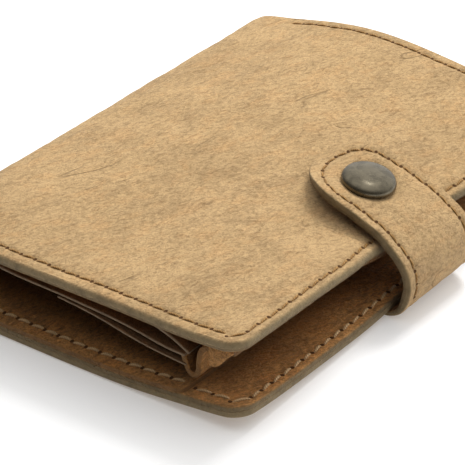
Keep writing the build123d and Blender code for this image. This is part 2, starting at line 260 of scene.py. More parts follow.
front_quilt = Quilt(
    [-45, -30, -15, 0, 15, 30, FRONT_EDGE],
    [-69, -47, -27, -18, -11, 0, 11, 18, 28, 47, 69],
    [
        [19.4, 20.7, 20.8, 20.8, 20.8, 20.7, 21.6],
        [19.6, 21.1, 21.5, 21.4, 21.2, 20.8, 20.6],
        [19.7, 21.3, 22.0, 21.9, 21.3, 20.5, 19.6],
        [19.7, 21.4, 22.2, 22.1, 21.3, 20.2, 18.3],
        [19.7, 21.5, 22.4, 22.3, 21.2, 19.8, 16.6],
        [19.6, 21.5, 22.5, 22.3, 21.2, 19.6, 15.9],
        [19.6, 21.5, 22.6, 22.4, 21.2, 19.5, 16.1],
        [19.5, 21.5, 22.7, 22.6, 21.2, 19.4, 16.4],
        [19.4, 21.6, 22.9, 22.7, 21.2, 19.4, 17.0],
        [19.1, 21.6, 23.3, 23.0, 21.2, 19.3, 17.6],
        [18.5, 21.7, 23.7, 23.2, 21.2, 19.2, 17.9],
    ],
)
back_quilt = Quilt(
    [-43, -22, 4, 18, 30, 38, BACK_EDGE],
    [-69, -60, -47, -30, -21, -14, 14, 21, 30, 47, 69],
    [
        [0.0, 0.0, 0.0, 0.6, 1.8, 2.7, 3.7],
        [0.0, 0.0, 0.0, 0.5, 1.3, 1.9, 2.6],
        [0.0, 0.0, 0.0, 0.4, 0.9, 1.3, 1.7],
        [0.0, 0.0, 0.1, 0.5, 0.8, 0.95, 1.0],
        [0.0, 0.0, 0.2, 0.7, 0.9, 0.9, 0.8],
        [0.0, 0.0, 0.25, 0.95, 1.0, 1.0, 1.0],
        [0.0, 0.0, 0.25, 0.95, 1.0, 1.0, 1.0],
        [0.0, 0.0, 0.2, 0.7, 0.9, 0.9, 0.9],
        [0.0, 0.0, 0.1, 0.5, 0.8, 0.95, 1.0],
        [0.0, 0.0, 0.0, 0.4, 0.9, 1.3, 1.7],
        [0.0, 0.0, 0.0, 0.5, 1.3, 1.9, 2.5],
    ],
)
STRAP_ROOT_X = float(box_mm("strap_root")[0][0])
STRAP_TIP_X = float(box_mm("strap_tip_outer")[0][0])
strap_profile = Profile(
    [
        (STRAP_ROOT_X, 0.0),
        (28.0, 0.0),
        (36.0, 0.0),
        (41.0, 0.0),
        (44.3, 0.3),
        (47.1, 1.8),
        (49.0, 4.3),
        (50.0, 7.0),
        (50.15, 9.6),
        (49.2, 12.9),
        (46.8, 16.2),
        (43.7, 18.6),
        (40.5, 20.7),
        (37.2, 22.1),
        (33.8, 23.4),
        (SNAP_X, 24.4),
        (26.0, 24.9),
        (22.1, 24.9),
        (18.1, 24.5),
        (STRAP_TIP_X, 24.1),
    ]
)
# The line across the strap where its wrapping part ends and its tip starts
SPLIT_Z = 9.0
SPLIT_MIN_X = 45.0
STRAP_SPLIT = nearest_length(strap_profile, np.abs(strap_profile.z - SPLIT_Z), strap_profile.x >= SPLIT_MIN_X)
SNAP_S = nearest_length(strap_profile, np.abs(strap_profile.x - SNAP_X), strap_profile.s > STRAP_SPLIT)
FRONT_SEAM_START = front_profile.s_at_x(-36.0)

# How far the strap's sides curl up round the snap, over x and y
curl_quilt = Quilt(
    [12, 16, 19, 22, 25.5, 28.5, 31, 34, 38, 44],
    [-13, -10, -6.5, 0, 6.5, 10, 13],
    [
        [1.7, 1.9, 2.0, 1.9, 1.5, 1.0, 0.5, 0.15, 0.0, 0.0],
        [1.1, 1.2, 1.3, 1.3, 1.0, 0.5, 0.2, 0.0, 0.0, 0.0],
        [0.4, 0.4, 0.4, 0.3, 0.0, -0.1, -0.1, 0.0, 0.0, 0.0],
        [0.1, 0.0, 0.0, -0.1, -0.2, -0.2, -0.2, -0.1, 0.0, 0.0],
        [0.8, 0.9, 0.8, 0.4, 0.0, -0.1, -0.1, 0.0, 0.0, 0.0],
        [1.7, 1.8, 1.6, 0.9, 0.3, 0.1, 0.0, 0.0, 0.0, 0.0],
        [2.2, 2.3, 2.1, 1.3, 0.7, 0.4, 0.3, 0.2, 0.1, 0.0],
    ],
)


def waves(s, y, seed, low, high, count):
    """Unevenness of a hide: a sum of sine waves with seeded directions, wavelengths from low to high mm."""
    rng = np.random.default_rng(seed)
    total = np.zeros_like(s)
    for _ in range(count):
        length = low * (high / low) ** rng.random()
        turn, phase = rng.random(2) * 2 * math.pi
        total += np.sin((s * math.cos(turn) + y * math.sin(turn)) * 2 * math.pi / length + phase)
    return total / math.sqrt(count)


def seam_distance(s, y, edge, half, side, end, r):
    """Distance to a seam, 'side' inside the free edge and 'end' inside the ends: a rounded rectangle's."""
    q_s = s - (edge - side - r)
    q_y = np.abs(y) - (half - end - r)
    outside = np.hypot(np.maximum(q_s, 0), np.maximum(q_y, 0))
    return outside + np.minimum(np.maximum(q_s, q_y), 0) - r


def seam_dip(distance, depth, width):
    """Groove that a seam draws into the leather: depth times a bell of the distance."""
    return -depth * np.exp(-((distance / width) ** 2))


TUCK = 2.5  # how far the strap draws the front cover's free edge in
TUCK_HALF = 20.0  # half of the drawn-in length along the edge
WEDGE = 0.42  # share of the strap's thickness that is left at its sewn end
CURL = 0.62  # share of the curl table that the strap's sides take
TIP_TURN = 3.0  # how far the strap's tip is turned towards the top edge
BELLY = 0.045  # slope of the strap's belly across its width


def front_place(s, y, h):
    """Front map: the profile, lifted by the quilt where the cover is level and drawn in under the strap."""
    x, z, nx, nz = front_profile(s)
    lift = ramp(x, SPINE_X + 1.0, SPINE_X + FRONT_BEND_A + 3)
    rise = (front_quilt(x, y) - TOP_Z) * lift
    tuck = TUCK * ramp(x, 24, FRONT_EDGE) * np.exp(-((y / TUCK_HALF) ** 4))
    return np.stack([x + nx * h - tuck, y, z + nz * h + rise], -1)


def back_place(s, y, h):
    """Back map: the profile, lifted by the quilt of the bottom; h is measured down, so inside is below 0."""
    x, z, nx, nz = back_profile(s)
    rise = back_quilt(x, y) * ramp(x, SPINE_X + 4, SPINE_X + BACK_BEND + 3)
    return np.stack([x - nx * h, y, z - nz * h + rise], -1)


def strap_place(s, y, h):
    """Strap map: the profile, thinned to a wedge at its sewn end and bellied a little more on its far side, with
    sides that curl up round the snap and a tip turned a little towards the top edge.
    """
    x, z, nx, nz = strap_profile(s)
    thin = WEDGE + (1 - WEDGE) * ramp(s, 22.0, 33.0)
    past_split = ramp(s, STRAP_SPLIT, STRAP_SPLIT + 12)
    curl = CURL * curl_quilt(x, y) * past_split
    turn = TIP_TURN * ramp(x, 31, 15) * past_split
    belly = BELLY * y * ramp(s, 26, 34) * ramp(s, STRAP_SPLIT + 16, STRAP_SPLIT + 6)
    out = h * thin + belly
    return np.stack([x - nx * out, y + turn, z - nz * out + curl], -1)


# ------------------------------------------------------------------ mesh building
def make_piece(name, verts, faces, material, smooth=35.0, shades=None):
    """Writes points in millimetres and faces as a mesh object at the origin, shaded smooth below an angle.
    Shades are named numbers on the points that the materials read.
    """
    mesh = bpy.data.meshes.new(name)
    mesh.from_pydata((np.asarray(verts, float) * MM).tolist(), [], [tuple(int(i) for i in f) for f in faces])
    mesh.validate()
    mesh.materials.append(material)
    mesh.polygons.foreach_set("use_smooth", np.ones(len(mesh.polygons), bool))
    for key, values in (shades or {}).items():
        mesh.attributes.new(key, "FLOAT", "POINT").data.foreach_set("value", np.asarray(values, np.float32))
    if smooth:
        mesh.set_sharp_from_angle(angle=math.radians(smooth))
    mesh.update()
    piece = bpy.data.objects.new(name, mesh)
    bpy.context.scene.collection.objects.link(piece)
    return piece


def grid_faces(rows, cols, start=0, flip=False):
    """Quads of a rows by cols grid of points numbered row by row."""
    i = np.arange(rows - 1)[:, None] * cols + np.arange(cols - 1)[None, :] + start
    q = np.stack([i, i + 1, i + cols + 1, i + cols], -1).reshape(-1, 4)
    return q[:, ::-1] if flip else q


def ring_faces(a, b):
    """Quads between two closed rings of point numbers."""
    a, b = np.asarray(a), np.asarray(b)
    return np.stack([a, b, np.roll(b, -1), np.roll(a, -1)], -1)


def gathered(lo, hi, count, marks, width=1.5, gain=3.0):
    """Places from lo to hi, closer together round the marks: equal steps under a density that is 1 plus a bell
    at each mark.
    """
    t = np.linspace(lo, hi, 3000)
    density = np.ones_like(t) + sum(gain * np.exp(-(((t - m) / width) ** 2)) for m in marks)
    total = np.r_[0, np.cumsum((density[1:] + density[:-1]) / 2)]
    return np.interp(np.linspace(0, total[-1], count), total, t)


def volume_sign(verts, faces):
    """Sign of the volume inside quads: the sum of tetrahedra from the origin to each quad's two halves."""
    a, b, c, d = (verts[faces[:, i]] for i in range(4))
    return np.sign(np.sum(a * np.cross(b, c)) + np.sum(a * np.cross(c, d)))


EDGE_RINGS = (0.92, 0.72, 0.4, 0.0)  # share of a cut edge's radius at which its rings stand
EDGE_SHADES = (0.35, 0.65, 0.9, 1.0, 1.0, 1.0, 0.9, 0.8)  # how far each ring is dressed edge
UNDER_SHARE = 0.2  # share of the relief that a sheet's lower face takes


def sheet_rows(inner, zone, rows, marks, turn):
    """Places of a sheet's lines across y: gathered in the middle, and by sine steps in the corners' zones."""
    if zone <= 0:
        return gathered(-inner, inner, rows, marks)
    side = inner - zone + zone * np.sin(turn)
    flat = inner - zone
    middle = gathered(-flat, flat, rows, marks) if flat > 0.05 else np.array([0.0])
    return np.r_[-side[::-1], middle, side]


def sheet_end(ys, inner, radius, share, b):
    """How far a sheet's end is drawn in at each y, by b and by the quarter circles of its corners, and the end's
    outward direction.
    """
    r = radius - b
    if radius <= 0 or r <= 0:
        return np.zeros_like(ys) + b * share, (np.ones_like(ys) * share, np.zeros_like(ys))
    over = np.clip((np.abs(ys) - (inner - r)) / r, 0, 1)
    along = np.sqrt(1 - over**2)
    return r - r * along + b * share, (along * share, over * np.sign(ys))


def slab(name, span, half, radii, heights, place, relief, material, cols, rows, rounds=(0.5, 0.5), ends=(1.0, 1.0),
         marks=((), ()), arc=14):
    """A sheet with rounded cut edges: two grids over a rounded rectangle in (s, y), joined by rings that turn a
    quarter circle off each face's rim, all bent by the map. Rounds are the edge's radii at the upper and lower
    face, ends scale them at low and high s, marks gather the grid's lines, and relief gives height and shade.
    """
    lo, hi = span
    top, low = heights
    f = (gathered(lo, hi, cols, marks[0]) - lo) / (hi - lo)
    turn = np.linspace(0, math.pi / 2, arc + 1)[1:]

    def sheet(b):
        """Grid of the face that is drawn in by b from the outline, and its ends' outward directions."""
        inner = half - b
        ys = sheet_rows(inner, max(radii) - b, rows, marks[1], turn)
        (in_lo, out_lo), (in_hi, out_hi) = (sheet_end(ys, inner, r, share, b) for r, share in zip(radii, ends))
        s_lo, s_hi = lo + in_lo, hi - in_hi
        s = s_lo[:, None] + (s_hi - s_lo)[:, None] * f[None, :]
        return s, np.repeat(ys[:, None], cols, 1), (out_lo, out_hi)

    s_up, y_up, ((lo_s, lo_y), (hi_s, hi_y)) = sheet(rounds[0])
    s_dn, y_dn, _ = sheet(rounds[1])
    nr = len(s_up)
    number = np.arange(nr * cols).reshape(nr, cols)
    loop = np.r_[number[0], number[1:-1, -1], number[-1, ::-1], number[-2:0:-1, 0]]
    out_s = np.r_[np.zeros(cols), hi_s[1:-1], np.zeros(cols), -lo_s[-2:0:-1]]
    out_y = np.r_[-np.ones(cols), hi_y[1:-1], np.ones(cols), lo_y[-2:0:-1]]
    if radii[1] <= rounds[0]:
        out_s[cols - 1] = out_s[cols + nr - 2] = ends[1]
    if radii[0] <= rounds[0]:
        out_s[0] = out_s[2 * cols + nr - 3] = -ends[0]

    parts, shades = [], []
    for s, y, height, share in ((s_up, y_up, top, 1.0), (s_dn, y_dn, low, UNDER_SHARE)):
        puff, shade = relief(s.ravel(), y.ravel())
        parts.append(np.c_[s.ravel(), y.ravel(), height + share * puff])
        shades.append(shade * share)
    loops, count = [loop], 2 * nr * cols
    for s, y, b, face, sign in ((s_up, y_up, rounds[0], top, 1), (s_dn, y_dn, rounds[1], low, -1)):
        s, y = s.ravel()[loop], y.ravel()[loop]
        for rise in EDGE_RINGS[::sign]:
            out = math.sqrt(1 - rise**2) * b
            height = face - sign * b * (1 - rise)
            parts.append(np.c_[s + out_s * out, y + out_y * out, np.full(len(loop), height)])
            loops.append(np.arange(count, count + len(loop)))
            count += len(loop)
    loops.append(loop + nr * cols)

    faces = [grid_faces(nr, cols), grid_faces(nr, cols, nr * cols, flip=True)]
    faces += [ring_faces(a, c) for a, c in zip(loops[:-1], loops[1:])]
    flat, faces = np.vstack(parts), np.vstack(faces)
    edge, seam = np.zeros(len(flat)), np.zeros(len(flat))
    edge[2 * nr * cols :] = np.repeat(EDGE_SHADES, len(loop))
    # The reliefs' shades go to the 'seam' numbers: darkening along the seams, and painted shade deep inside the
    # linings, the pocket and the gusset.
    seam[: 2 * nr * cols] = np.concatenate(shades)
    verts = place(flat[:, 0], flat[:, 1], flat[:, 2])
    if volume_sign(verts, faces) < 0:
        faces = faces[:, ::-1]
    return make_piece(name, verts, faces, material, 50.0, {"cut_edge": edge, "seam": seam})


THREAD_SIDES = 8
THREAD_STEPS = np.array([-1.0, -0.86, -0.5, 0.0, 0.5, 0.86, 1.0])  # rings, as shares of half a stitch
THREAD_SLANT = 0.15  # turn of each thread out of its seam, in radians
STITCH_GAP = 0.8  # what a stitch leaves of its pitch, in mm
HOLE_SIDES = 12
HOLE_RINGS = ((0.02, 0.05), (0.27, 0.06), (0.41, 0.06), (0.53, -0.08))  # radius and height, in mm
HOLE_LENGTH, HOLE_WIDTH = 0.95, 1.15


def on_seam(centre, angle, along, across):
    """Places in (s, y) of points that are given along and across each stitch's direction."""
    ca, sa = np.cos(angle)[:, None, None], np.sin(angle)[:, None, None]
    s = centre[:, 0, None, None] + along * ca - across * sa
    y = centre[:, 1, None, None] + along * sa + across * ca
    return s, y


def seated(place, surface, s, y, raised):
    """Points raised over a sheet's relief, bent into place with the sheet."""
    h = surface(s.ravel(), y.ravel())[0].reshape(s.shape) + raised
    return place(s.ravel(), y.ravel(), h.ravel())


def copied_rings(rings, sides, copies, flip=False):
    """Quads between the rings of a small shape, for a row of copies of it."""
    point = np.arange(sides)
    pairs = [(k + 1, k) if flip else (k, k + 1) for k in range(rings - 1)]
    quads = np.vstack([ring_faces(point + sides * a, point + sides * b) for a, b in pairs])
    shift = (np.arange(copies) * rings * sides)[:, None, None]
    return (quads[None] + shift).reshape(-1, 4)


def threads_of(name, centre, angle, length, place, surface, material, width):
    """Threads of a seam. Each is a grid bent into a bead: across it an ellipse, along it a low arch whose ends
    dive into the holes.
    """
    turn = np.linspace(0, 2 * math.pi, THREAD_SIDES, endpoint=False)
    fat = np.sqrt(np.clip(1 - (THREAD_STEPS * 0.93) ** 4, 0, 1))
    arch = 0.34 * (1 - THREAD_STEPS**2) - 0.12
    across = fat[:, None] * np.cos(turn)[None, :] * width / 2
    raised = fat[:, None] * np.sin(turn)[None, :] * width * 0.42 + arch[:, None]
    along = np.repeat(THREAD_STEPS[:, None], THREAD_SIDES, 1)[None] * length[:, None, None] / 2
    s, y = on_seam(centre, angle + THREAD_SLANT, along, across[None])
    verts = seated(place, surface, s, y, raised[None])
    copies, per = len(centre), len(THREAD_STEPS) * THREAD_SIDES
    faces = [tuple(q) for q in copied_rings(len(THREAD_STEPS), THREAD_SIDES, copies)]
    for k in range(copies):
        first, last = k * per, (k + 1) * per - 1
        faces.append(tuple(range(first, first + THREAD_SIDES)))
        faces.append(tuple(range(last, last - THREAD_SIDES, -1)))
    return make_piece(name, verts, faces, material, 0)


def holes_of(name, centre, angle, length, place, surface, material):
    """Needle holes of a seam, one where each stitch starts: low discs with a rim turned into the leather."""
    starts = centre - 0.5 * (length + STITCH_GAP)[:, None] * np.c_[np.cos(angle), np.sin(angle)]
    turn = np.linspace(0, 2 * math.pi, HOLE_SIDES, endpoint=False)
    radius, raised = (np.array(column)[:, None] for column in zip(*HOLE_RINGS))
    along = radius * np.cos(turn)[None, :] * HOLE_LENGTH
    across = radius * np.sin(turn)[None, :] * HOLE_WIDTH
    s, y = on_seam(starts, angle, along[None], across[None])
    verts = seated(place, surface, s, y, raised[None])
    return make_piece(name, verts, copied_rings(len(HOLE_RINGS), HOLE_SIDES, len(centre), flip=True), material, 0)


def sew(name, runs, place, surface, outer, node, hold):
    """Sews a seam through a sheet: threads, which stand for a node, and needle holes, both held with the leather.
    Outer seams have the brown thread, inner ones the wider tan one.
    """
    k = bpy.context.scene.organizer_sizes
    centre, angle, length = (np.concatenate(part) for part in zip(*runs))
    seam = (centre, angle, length, place, surface)
    thread, width = (brown_thread(), k.thread) if outer else (tan_thread(), k.inner_thread)
    threads = threads_of(name + "_threads", *seam, thread, width)
    holes = holes_of(name + "_needle_holes", *seam, hole_shade())
    for piece in (threads, holes):
        hold(piece)
    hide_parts(node)


def run_between(p, q, pitch):
    """Stitches of a straight run from p to q in (s, y): centres, direction and length, a whole number of pitches."""
    p, q = np.asarray(p, float), np.asarray(q, float)
    total = float(np.hypot(*(q - p)))
    n = max(1, round(total / pitch))
    t = (np.arange(n) + 0.5) / n
    centre = p + (q - p) * t[:, None]
    angle = np.full(n, math.atan2(q[1] - p[1], q[0] - p[0]))
    return centre, angle, np.full(n, total / n - STITCH_GAP)


def run_round(c, r, a0, a1, pitch):
    """Stitches along an arc round c in (s, y), from a0 to a1 degrees."""
    a0, a1 = math.radians(a0), math.radians(a1)
    n = max(1, round(abs(a1 - a0) * r / pitch))
    a = a0 + (a1 - a0) * (np.arange(n) + 0.5) / n
    centre = np.c_[c[0] + r * np.cos(a), c[1] + r * np.sin(a)]
    angle = a + math.copysign(math.pi / 2, a1 - a0)
    return centre, angle, np.full(n, abs(a1 - a0) * r / n - STITCH_GAP)


def two_rows(start, end, row, pitch):
    """Runs along both sides of a sheet: out along the near one and back along the far one."""
    return [run_between((start, -row), (end, -row), pitch), run_between((end, row), (start, row), pitch)]

def seam_loop(start, edge, half, side, end, r, pitch):
    """Runs of a seam along one end, the free edge and the other end, with rounded corners."""
    s1, y1 = edge - side, half - end
    return [
        run_between((start, -y1), (s1 - r, -y1), pitch),
        run_round((s1 - r, -y1 + r), r, -90, 0, pitch),
        run_between((s1, -y1 + r), (s1, y1 - r), pitch),
        run_round((s1 - r, y1 - r), r, 0, 90, pitch),
        run_between((s1 - r, y1), (start, y1), pitch),
    ]


def fan(before, here):
    """Faces between two rings of a turned piece, one of which may be a single point."""
    if len(before) == 1:
        return [(before[0], a, b) for a, b in zip(here, np.roll(here, -1))]
    if len(here) == 1:
        return [(a, here[0], b) for a, b in zip(before, np.roll(before, -1))]
    return [tuple(q) for q in ring_faces(before, here)]


def lathe(name, outline, base, normal, material, turns=64, smooth=35.0):
    """A turned piece: an outline of (radius, height) swept round an axis that stands on the base."""
    n = np.asarray(normal, float) / np.linalg.norm(normal)
    u = np.cross(n, (0.0, 1.0, 0.0))
    u /= np.linalg.norm(u)
    t = np.linspace(0, 2 * math.pi, turns, endpoint=False)
    circle = np.cos(t)[:, None] * u + np.sin(t)[:, None] * np.cross(n, u)
    verts, faces = [], []
    before, count = None, 0
    for radius, height in outline:
        ring = circle * radius if radius > 0 else np.zeros((1, 3))
        verts.append(base + n * height + ring)
        here = np.arange(count, count + len(ring))
        count += len(ring)
        if before is not None:
            faces += fan(before, here)
        before = here
    piece = make_piece(name, np.vstack(verts), faces, material, smooth)
    outward(piece)
    return piece


def outward(piece):
    """Turns a closed mesh's faces outwards."""
    bm = bmesh.new()
    bm.from_mesh(piece.data)
    bmesh.ops.recalc_face_normals(bm, faces=bm.faces)
    bm.to_mesh(piece.data)
    bm.free()


# ------------------------------------------------------------------ hidden nodes, bodies and holds
def keep(piece, nodes, hold):
    """Hides the nodes that a piece stands for and hands the piece to its hold, which carries it with a body or bakes
    its place into its mesh.
    """
    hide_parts(*nodes)
    hold(piece)


def on_body(body):
    """A hold that carries a piece whole with a body."""
    return lambda piece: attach(piece, body)


def bend_back(piece):
    """Bakes a piece's place into its mesh; the hold of the pieces over the lower edge of the spine, between the back
    half and the spine.
    """
    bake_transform(piece)


def bend_front(piece):
    """Bakes a piece's place into its mesh; the hold of the pieces over the upper edge of the spine, between the spine
    and the front half.
    """
    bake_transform(piece)


def bend_strap_low(piece):
    """Bakes a piece's place into its mesh; the hold of the strap's pieces between the back half and its wrapping
    part.
    """
    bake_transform(piece)


def bend_strap_high(piece):
    """Bakes a piece's place into its mesh; the hold of the strap's pieces between its wrapping part and its tip."""
    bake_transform(piece)


# ------------------------------------------------------------------ materials
def paint(value):
    """A colour as a node's input takes it: a socket as it is, three numbers with an opacity of 1."""
    return value if isinstance(value, bpy.types.NodeSocket) else (*value, 1.0)


def scaled(shade, factor):
    """A colour made lighter or darker by a factor."""
    return tuple(min(1, factor * part) for part in shade)


class Finish:
    """A material's nodes, written as a short list of what feeds what."""

    def __init__(self, name):
        self.material = bpy.data.materials.new(name)
        self.material.use_nodes = True
        self.tree = self.material.node_tree
        self.shader = self.tree.nodes["Principled BSDF"]
        self.where = self.tree.nodes.new("ShaderNodeTexCoord").outputs["Object"]

    def node(self, kind, inputs=None, **settings):
        made = self.tree.nodes.new("ShaderNode" + kind)
        for key, value in settings.items():
            setattr(made, key, value)
        for key, value in (inputs or {}).items():
            self.feed(value, made.inputs[key])
        return made

    def feed(self, value, socket):
        if isinstance(value, bpy.types.NodeSocket):
            self.tree.links.new(value, socket)
        else:
            socket.default_value = value

    def stretch(self, long, turn):
        """Object coordinates drawn out by a factor along a direction in the plane, given in radians."""
        made = self.node("Mapping", {"Vector": self.where}, vector_type="TEXTURE")
        made.inputs["Scale"].default_value = (long, 1.0, 1.0)
        made.inputs["Rotation"].default_value = (0.0, 0.0, turn)
        return made.outputs["Vector"]

    def noise(self, scale, detail=4.0, rough=0.55, distortion=0.0, vector=None):
        inputs = {"Scale": scale, "Detail": detail, "Roughness": rough, "Distortion": distortion}
        return self.node("TexNoise", {"Vector": vector or self.where, **inputs}).outputs["Fac"]

    def span(self, value, low, high, to_low=0.0, to_high=1.0):
        made = self.node("MapRange", {"Value": value}, interpolation_type="SMOOTHSTEP")
        for key, number in (("From Min", low), ("From Max", high), ("To Min", to_low), ("To Max", to_high)):
            made.inputs[key].default_value = number
        return made.outputs["Result"]

    def math(self, kind, a, b=0.5):
        made = self.node("Math", operation=kind)
        self.feed(a, made.inputs[0])
        self.feed(b, made.inputs[1])
        return made.outputs[0]

    def mix(self, share, a, b):
        made = self.node("Mix", data_type="RGBA")
        for socket, value in zip((made.inputs[0], made.inputs[6], made.inputs[7]), (share, paint(a), paint(b))):
            self.feed(value, socket)
        return made.outputs[2]

    def over(self, base, mask, strength, shade):
        """Lays a colour over the base by a mask, up to a strength."""
        return self.mix(self.math("MULTIPLY", mask, strength), base, shade)

    def bump(self, height, strength, distance, normal=None):
        made = self.node("Bump", {"Height": height, "Strength": strength, "Distance": distance})
        if normal is not None:
            self.feed(normal, made.inputs["Normal"])
        return made.outputs["Normal"]

    def finish(self, base, rough, normal=None, metallic=0.0, sheen=0.0, sheen_tint=(1, 1, 1), specular=0.5):
        inputs = self.shader.inputs
        self.feed(paint(base), inputs["Base Color"])
        self.feed(rough, inputs["Roughness"])
        inputs["Metallic"].default_value = metallic
        inputs["Specular IOR Level"].default_value = specular
        inputs["Sheen Weight"].default_value = sheen
        inputs["Sheen Roughness"].default_value = 0.6
        inputs["Sheen Tint"].default_value = (*sheen_tint, 1.0)
        if normal is not None:
            self.feed(normal, inputs["Normal"])
        return self.material


def nubuck(name, colours, edge_colour, wear=1.0, depth=1.0):
    """Distressed nubuck: cloudy light and dark patches, short dark streaks along the hide, fine fibre and speckle, a
    few long creases, darkening along the seams, painted shade deep inside the linings, the pocket and the gusset, and
    dressed cut edges darkened partly as painted shade.
    """
    light, mid, dark = colours
    f = Finish(name)
    drift = f.stretch(1.7, 1.3)
    clouds = f.noise(48, 4, 0.6, 0.5)
    patches = f.noise(95, 5, 0.62, 0.5, drift)
    streaks = f.noise(560, 5, 0.7, 0.5, f.stretch(2.0, 1.42))
    fibre = f.noise(1250, 4, 0.72, 0.4, f.stretch(1.6, 1.25))
    speckle = f.noise(2700, 3, 0.65)
    line_field = f.noise(36, 3, 0.5, 0.6, f.stretch(3.0, 1.2))
    lines = f.span(f.math("ABSOLUTE", f.math("SUBTRACT", line_field, 0.5)), 0.0, 0.005, 1.0, 0.0)
    crease = f.math("MULTIPLY", lines, f.span(f.noise(60, 2, 0.5), 0.55, 0.66))
    streak = f.math("MULTIPLY", f.span(streaks, 0.5, 0.68), f.span(patches, 0.36, 0.6, 0.3, 1.0))
    blotches = f.noise(230, 5, 0.65, 0.4, drift)
    rust = (1.1 * light[0], 0.9 * light[1], 0.72 * light[2])
    # Colour of the darkening along the seams and of the painted shade deep inside the linings, the pocket and the
    # gusset.
    seam_darkening_and_painted_shade = (1.1 * dark[0], 0.95 * dark[1], 0.6 * dark[2])
    base = f.mix(f.span(clouds, 0.38, 0.62), mid, light)
    for mask, strength, shade in (
        (f.span(blotches, 0.47, 0.66), 0.32, rust),
        (f.span(patches, 0.44, 0.68), 0.22, dark),
        (streak, 0.50, dark),
        (f.span(fibre, 0.47, 0.66), 0.44, dark),
        (f.span(fibre, 0.5, 0.32), 0.5, scaled(light, 1.2)),
        (f.span(speckle, 0.48, 0.66), 0.42, dark),
        (crease, 0.45, dark),
    ):
        base = f.over(base, mask, strength * wear, shade)
    # Darkening along the seams, and painted shade deep inside the linings, the pocket and the gusset, from the 'seam'
    # attribute.
    seam = f.node("Attribute", attribute_name="seam").outputs["Fac"]
    base = f.over(base, seam, 0.28, seam_darkening_and_painted_shade)
    # Cut edges: their own dressed tone with worn mottling, darkened further as painted shade for walls that face away
    # from the key lamp.
    rim = f.span(f.node("Attribute", attribute_name="cut_edge").outputs["Fac"], 0.1, 1.0)
    edge_wear_and_painted_shade = f.mix(f.span(f.noise(420, 4, 0.6), 0.42, 0.7), edge_colour, scaled(edge_colour, 0.68))
    base = f.over(base, rim, 0.9, edge_wear_and_painted_shade)
    height = f.math("ADD", f.math("MULTIPLY", fibre, 0.8), f.math("MULTIPLY", speckle, 0.4))
    height = f.math("SUBTRACT", height, f.math("MULTIPLY", crease, 0.7))
    normal = f.bump(height, 0.9 * depth, 0.0005)
    normal = f.bump(streaks, 0.6 * depth, 0.0009, normal)
    rough = f.math("SUBTRACT", f.span(patches, 0.3, 0.8, 0.9, 0.76), f.math("MULTIPLY", rim, 0.15))
    return f.finish(base, rough, normal, sheen=0.08, sheen_tint=(1.0, 0.88, 0.7), specular=0.22)


def waxed_thread(name, shade):
    """Twisted waxed thread: a fine diagonal ply and a little shine."""
    f = Finish(name)
    twist = {"Vector": f.where, "Scale": 900.0, "Distortion": 1.5, "Detail": 2.0}
    wave = f.node("TexWave", twist, bands_direction="DIAGONAL").outputs["Fac"]
    base = f.mix(f.span(wave, 0.2, 0.9), scaled(shade, 0.55), shade)
    base = f.over(base, f.noise(700, 3, 0.6), 0.5, scaled(shade, 1.5))
    return f.finish(base, 0.55, f.bump(wave, 0.5, 0.00015), specular=0.4)


def needle_hole(name, shade):
    """Painted shade of a needle hole and the compressed, darker leather round it, mottled."""
    f = Finish(name)
    base = f.mix(f.noise(1500, 3, 0.6), shade, scaled(shade, 2.4))
    return f.finish(base, 0.8, f.bump(f.noise(2600, 3, 0.6), 0.4, 0.0002), specular=0.2)


def antique_brass(name, shade):
    """Antiqued brass: brown patina in clouds, brushed fine scratches, a soft lacquer shine."""
    f = Finish(name)
    patina = f.noise(380, 5, 0.6, 0.4)
    scratches = f.noise(2200, 4, 0.7, 0.0, f.stretch(9.0, 0.6))
    base = f.mix(f.span(patina, 0.35, 0.7), shade, scaled(shade, 0.55))
    base = f.over(base, f.span(scratches, 0.55, 0.8), 0.35, scaled(shade, 1.5))
    wear = f.math("ADD", f.math("MULTIPLY", patina, 0.6), f.math("MULTIPLY", scratches, 0.4))
    rough = f.span(wear, 0.3, 0.75, 0.2, 0.34)
    return f.finish(base, rough, f.bump(scratches, 0.12, 0.00008), metallic=0.75, specular=0.5)


def material(name, maker, *looks):
    """A material by name, made on first use."""
    return bpy.data.materials.get(name) or maker(name, *looks)


def outer_hide():
    c = bpy.context.scene.organizer_colours
    return material("tan_nubuck", nubuck, (tuple(c.hide_light), tuple(c.hide_mid), tuple(c.hide_dark)), tuple(c.edge))


def inner_hide(name, mid, edge, dark_share=0.35, wear=1.5, depth=1.9):
    """Inner leather: the nubuck's pattern in lighter and darker tones of one colour."""
    mid = tuple(mid)
    shades = (scaled(mid, 1.3), mid, scaled(mid, dark_share))
    return material(name, nubuck, shades, tuple(edge), wear, depth)


def lining_suede():
    c = bpy.context.scene.organizer_colours
    return inner_hide("lining_suede", c.lining, c.edge)


def pocket_suede():
    c = bpy.context.scene.organizer_colours
    return inner_hide("document_pocket_suede", c.pocket, scaled(c.pocket, 0.5))


def panel_hide():
    c = bpy.context.scene.organizer_colours
    # The panels' colour is partly painted shade, for layers deep inside the front half.
    return inner_hide("pocket_hide", c.panel, c.panel_edge, 0.4, 0.9, 1.1)


def brown_thread():
    return material("waxed_brown_thread", waxed_thread, tuple(bpy.context.scene.organizer_colours.brown_thread))


def tan_thread():
    return material("waxed_tan_thread", waxed_thread, tuple(bpy.context.scene.organizer_colours.tan_thread))


def hole_shade():
    return material("needle_hole", needle_hole, tuple(bpy.context.scene.organizer_colours.hole))


def brass():
    return material("antiqued_snap_brass", antique_brass, tuple(bpy.context.scene.organizer_colours.brass))


